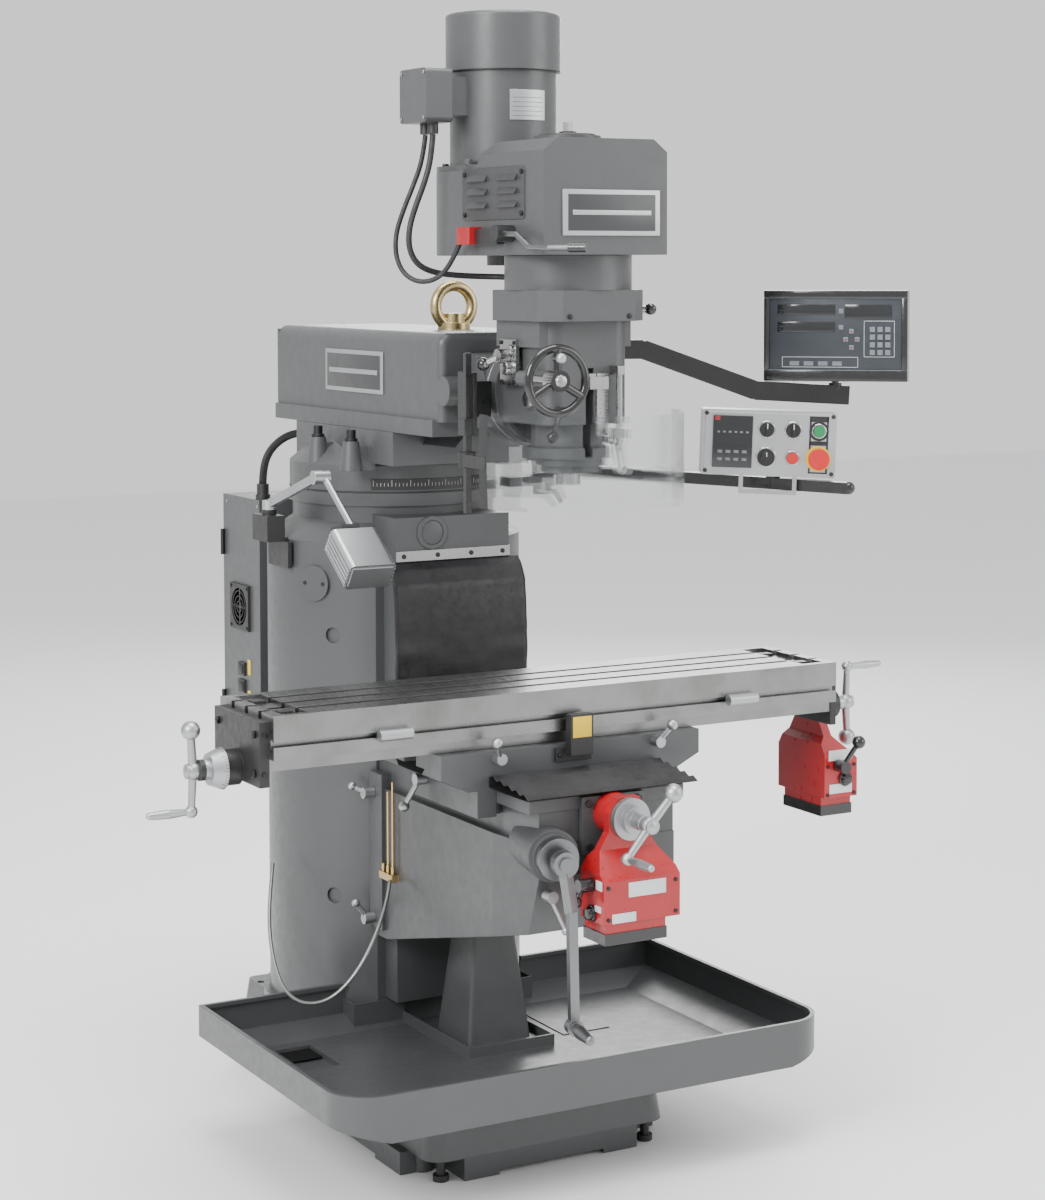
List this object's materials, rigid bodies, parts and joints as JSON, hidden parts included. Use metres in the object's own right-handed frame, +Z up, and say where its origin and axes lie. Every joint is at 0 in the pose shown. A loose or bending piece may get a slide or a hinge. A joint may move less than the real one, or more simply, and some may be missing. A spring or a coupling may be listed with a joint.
{
  "type": "vertical milling machine",
  "caption": "Turret milling machine with ram, tilting head, quill and spindle, knee, saddle and slotted table, power feeds, chip tray, lamp, display and control pendant.",
  "frame": {"origin": "on the floor at the centre of the four anchor-bolt holes", "axes": "+Z up the machine; -Y towards the operator; +X to the operator's right along the table"},
  "size_m": [1.682, 1.673, 2.303],
  "materials": {
    "machine_paint": "satin, fine orange peel",
    "black_enamel": "satin",
    "ground_iron": "ground",
    "polished_steel": "polished",
    "bare_aluminium": "turned",
    "black_rubber": "matte",
    "black_plastic": "gloss",
    "light_plastic": "matte",
    "grey_conduit": "ribbed matte",
    "red_plastic": "satin",
    "green_plastic": "satin",
    "clear_sheet": "clear"
  },
  "bodies": {
    "base": {"base_casting": "machine_paint", "chip_tray": "machine_paint", "column_casting": "machine_paint", "rear_way_cover": "black_rubber", "cabinet_case": "machine_paint", "cabinet_hose": "black_rubber", "lube_hose": "grey_conduit"},
    "cabinet_door": {"cabinet_door": "machine_paint"},
    "lamp_arm": {"lamp_arm": "bare_aluminium"},
    "lamp_rod": {"lamp_rod": "bare_aluminium"},
    "lamp_head": {"lamp_head": "bare_aluminium"},
    "turret": {"turret_saddle": "machine_paint"},
    "pendant": {"pendant_arm": "black_enamel"},
    "panel": {"control_panel": "light_plastic"},
    "start_button": {"start_button": "green_plastic"},
    "stop_button": {"stop_button": "red_plastic"},
    "estop_button": {"estop_button": "red_plastic"},
    "left_selector": {"left_selector": "black_plastic"},
    "right_selector": {"right_selector": "black_plastic"},
    "speed_dial": {"speed_dial": "black_plastic"},
    "ram": {"ram_casting": "machine_paint"},
    "dro_arm": {"dro_arm": "black_enamel"},
    "dro_console": {"dro_console": "black_plastic"},
    "knuckle": {"head_knuckle": "machine_paint"},
    "head": {"head_casting": "machine_paint", "gear_housing": "machine_paint", "belt_housing": "machine_paint", "drive_belt": "black_rubber", "drive_motor": "machine_paint", "motor_cable": "black_rubber", "switch_cable": "black_rubber"},
    "motor_pulley": {"motor_pulley": "bare_aluminium"},
    "spindle_pulley": {"spindle_pulley": "bare_aluminium"},
    "quill": {"quill": "polished_steel"},
    "spindle": {"spindle": "polished_steel"},
    "feed_handwheel": {"feed_handwheel": "black_plastic"},
    "backgear_lever": {"backgear_lever": "polished_steel"},
    "speed_lever": {"speed_lever": "polished_steel"},
    "quill_lock_lever": {"quill_lock_lever": "polished_steel"},
    "feed_trip_lever": {"feed_trip_lever": "polished_steel"},
    "feed_lever": {"feed_lever": "black_plastic"},
    "guard_shield": {"guard_shield": "clear_sheet"},
    "knee": {"knee_casting": "machine_paint", "y_power_feed": "red_plastic"},
    "knee_crank": {"knee_crank": "polished_steel"},
    "elevating_screw": {"elevating_screw": "polished_steel"},
    "knee_lock_upper": {"knee_lock_upper": "polished_steel"},
    "knee_lock_lower": {"knee_lock_lower": "polished_steel"},
    "knee_lock_front": {"knee_lock_front": "polished_steel"},
    "y_screw": {"y_screw": "polished_steel"},
    "y_feed_lever": {"y_feed_lever": "black_plastic"},
    "saddle": {"saddle_casting": "machine_paint", "front_way_cover": "black_rubber"},
    "saddle_lock": {"saddle_lock": "polished_steel"},
    "table_lock_left": {"table_lock_left": "polished_steel"},
    "table_lock_right": {"table_lock_right": "polished_steel"},
    "table": {"table": "ground_iron", "x_power_feed": "red_plastic"},
    "x_screw": {"x_screw": "polished_steel"},
    "x_feed_lever": {"x_feed_lever": "black_plastic"}
  },
  "joints": [
    {"name": "cabinet_door_hinge", "type": "hinge", "parent": "base", "child": "cabinet_door", "pos_m": [-0.202, 0.696, 0.98], "axis": [0, 0, 1], "range_deg": [0, 110]},
    {"name": "lamp_arm_swing", "type": "hinge", "parent": "base", "child": "lamp_arm", "pos_m": [-0.303, 0.19, 1.272], "axis": [0, 0, -1], "range_deg": [-10, 100]},
    {"name": "lamp_elbow", "type": "hinge", "parent": "lamp_arm", "child": "lamp_rod", "pos_m": [-0.29, -0.028, 1.357], "axis": [-1, 0, 0], "range_deg": [-35, 30]},
    {"name": "lamp_wrist", "type": "hinge", "parent": "lamp_rod", "child": "lamp_head", "pos_m": [-0.29, -0.168, 1.259], "axis": [-1, 0, 0], "range_deg": [-40, 40]},
    {"name": "turret_swivel", "type": "hinge", "parent": "base", "child": "turret", "pos_m": [0, 0.2, 1.313], "axis": [0, 0, 1], "range_deg": [-70, 90], "deforming": ["cabinet_hose"]},
    {"name": "pendant_swing", "type": "hinge", "parent": "turret", "child": "pendant", "pos_m": [0.243, -0.041, 1.33], "axis": [0, 0, 1], "range_deg": [-20, 40]},
    {"name": "panel_swing", "type": "hinge", "parent": "pendant", "child": "panel", "pos_m": [0.5758, -0.4404, 1.352], "axis": [0, 0, -1], "range_deg": [-5, 35]},
    {"name": "start_button_press", "type": "slide", "parent": "panel", "child": "start_button", "axis": [0.4848, 0.8746, 0], "range_m": [0, 0.004], "stiffness_N_per_m": 600},
    {"name": "stop_button_press", "type": "slide", "parent": "panel", "child": "stop_button", "axis": [0.4848, 0.8746, 0], "range_m": [0, 0.004], "stiffness_N_per_m": 600},
    {"name": "estop_button_press", "type": "slide", "parent": "panel", "child": "estop_button", "axis": [0.4848, 0.8746, 0], "range_m": [0, 0.005], "stiffness_N_per_m": 600},
    {"name": "left_selector_turn", "type": "hinge", "parent": "panel", "child": "left_selector", "pos_m": [0.53568, -0.47461, 1.4542], "axis": [-0.4848, -0.8746, 0], "range_deg": [-45, 45]},
    {"name": "right_selector_turn", "type": "hinge", "parent": "panel", "child": "right_selector", "pos_m": [0.58376, -0.50126, 1.45219], "axis": [-0.4848, -0.8746, 0], "range_deg": [-45, 45]},
    {"name": "speed_dial_turn", "type": "hinge", "parent": "panel", "child": "speed_dial", "pos_m": [0.53383, -0.47358, 1.39624], "axis": [-0.4848, -0.8746, 0], "range_deg": [-135, 135]},
    {"name": "ram_slide", "type": "slide", "parent": "turret", "child": "ram", "axis": [0, 1, 0], "range_m": [-0.22, 0.3]},
    {"name": "dro_arm_swing", "type": "hinge", "parent": "ram", "child": "dro_arm", "pos_m": [0.186, -0.25, 1.6], "axis": [0, 0, 1], "range_deg": [-40, 60]},
    {"name": "dro_console_swing", "type": "hinge", "parent": "dro_arm", "child": "dro_console", "pos_m": [0.7128, -0.4719, 1.55], "axis": [0, 0, 1], "range_deg": [-60, 60]},
    {"name": "head_nod", "type": "hinge", "parent": "ram", "child": "knuckle", "pos_m": [0, -0.35, 1.547], "axis": [-1, 0, 0], "range_deg": [-30, 12]},
    {"name": "head_tilt", "type": "hinge", "parent": "knuckle", "child": "head", "pos_m": [0, -0.43, 1.547], "axis": [0, 1, 0], "range_deg": [-90, 40]},
    {"name": "spindle_pulley_spin", "type": "hinge", "parent": "head", "child": "spindle_pulley", "pos_m": [0, -0.57, 1.9], "axis": [0, 0, 1], "continuous": true},
    {"name": "motor_pulley_spin", "type": "hinge", "parent": "head", "child": "motor_pulley", "pos_m": [0, -0.311, 1.9], "axis": [0, 0, 1], "continuous": true},
    {"name": "quill_slide", "type": "slide", "parent": "head", "child": "quill", "axis": [0, 0, 1], "range_m": [-0.127, 0]},
    {"name": "spindle_spin", "type": "hinge", "parent": "quill", "child": "spindle", "pos_m": [0, -0.57, 1.371], "axis": [0, 0, 1], "continuous": true},
    {"name": "feed_handwheel_turn", "type": "hinge", "parent": "head", "child": "feed_handwheel", "pos_m": [-0.124, -0.742, 1.582], "axis": [0, 1, 0], "continuous": true},
    {"name": "backgear_lever_turn", "type": "hinge", "parent": "head", "child": "backgear_lever", "pos_m": [0.1245, -0.57, 1.711], "axis": [1, 0, 0], "range_deg": [-60, 60]},
    {"name": "speed_lever_turn", "type": "hinge", "parent": "head", "child": "speed_lever", "pos_m": [-0.137, -0.592, 1.858], "axis": [1, 0, 0], "range_deg": [-20, 25]},
    {"name": "quill_lock_turn", "type": "hinge", "parent": "head", "child": "quill_lock_lever", "pos_m": [0.069, -0.6, 1.457], "axis": [1, 0, 0], "range_deg": [-45, 60]},
    {"name": "feed_trip_turn", "type": "hinge", "parent": "head", "child": "feed_trip_lever", "pos_m": [-0.072, -0.653, 1.52], "axis": [0, -1, 0], "range_deg": [-30, 30]},
    {"name": "feed_lever_turn", "type": "hinge", "parent": "head", "child": "feed_lever", "pos_m": [-0.1125, -0.53, 1.622], "axis": [1, 0, 0], "range_deg": [-45, 30]},
    {"name": "guard_swing", "type": "hinge", "parent": "head", "child": "guard_shield", "pos_m": [-0.178, -0.486, 1.42], "axis": [0, 0, -1], "range_deg": [0, 100]},
    {"name": "knee_slide", "type": "slide", "parent": "base", "child": "knee", "axis": [0, 0, 1], "range_m": [-0.085, 0.3], "deforming": ["rear_way_cover", "lube_hose"]},
    {"name": "knee_crank_turn", "type": "hinge", "parent": "knee", "child": "knee_crank", "pos_m": [-0.132, -0.717, 0.69], "axis": [-0.2011, -0.9796, 0], "range_deg": [-215, 0]},
    {"name": "elevating_screw_spin", "type": "hinge", "parent": "knee", "child": "elevating_screw", "pos_m": [0, -0.215, 0.7], "axis": [0, 0, 1], "continuous": true},
    {"name": "knee_lock_upper_turn", "type": "hinge", "parent": "knee", "child": "knee_lock_upper", "pos_m": [-0.1745, -0.05, 0.687], "axis": [1, 0, 0], "range_deg": [-30, 60]},
    {"name": "knee_lock_lower_turn", "type": "hinge", "parent": "knee", "child": "knee_lock_lower", "pos_m": [-0.1745, -0.05, 0.42], "axis": [1, 0, 0], "range_deg": [-30, 45]},
    {"name": "knee_lock_front_turn", "type": "hinge", "parent": "knee", "child": "knee_lock_front", "pos_m": [-0.134, -0.718, 0.608], "axis": [0, -1, 0], "range_deg": [-45, 20]},
    {"name": "y_screw_turn", "type": "hinge", "parent": "knee", "child": "y_screw", "pos_m": [0, -0.735, 0.755], "axis": [0, -1, 0], "continuous": true},
    {"name": "y_feed_lever_turn", "type": "hinge", "parent": "knee", "child": "y_feed_lever", "pos_m": [-0.0845, -0.8, 0.64], "axis": [1, 0, 0], "range_deg": [-30, 30]},
    {"name": "saddle_slide", "type": "slide", "parent": "knee", "child": "saddle", "axis": [0, -1, 0], "range_m": [-0.18, 0.125], "deforming": ["front_way_cover"]},
    {"name": "saddle_lock_turn", "type": "hinge", "parent": "saddle", "child": "saddle_lock", "pos_m": [-0.2145, -0.372, 0.778], "axis": [1, 0, 0], "range_deg": [-30, 30]},
    {"name": "table_lock_left_turn", "type": "hinge", "parent": "saddle", "child": "table_lock_left", "pos_m": [-0.172, -0.59, 0.852], "axis": [0, -1, 0], "range_deg": [-45, 60]},
    {"name": "table_lock_right_turn", "type": "hinge", "parent": "saddle", "child": "table_lock_right", "pos_m": [0.187, -0.59, 0.852], "axis": [0, -1, 0], "range_deg": [-60, 45]},
    {"name": "table_slide", "type": "slide", "parent": "saddle", "child": "table", "axis": [1, 0, 0], "range_m": [-0.32, 0.32]},
    {"name": "x_screw_turn", "type": "hinge", "parent": "table", "child": "x_screw", "pos_m": [0, -0.459, 0.861], "axis": [1, 0, 0], "continuous": true},
    {"name": "x_feed_lever_turn", "type": "hinge", "parent": "table", "child": "x_feed_lever", "pos_m": [0.672, -0.5435, 0.745], "axis": [0, -1, 0], "range_deg": [-30, 30]}
  ],
  "couplings": [
    {"joint": "spindle_spin", "follows": "spindle_pulley_spin", "ratio": 1},
    {"joint": "motor_pulley_spin", "follows": "spindle_pulley_spin", "ratio": 1}
  ]
}
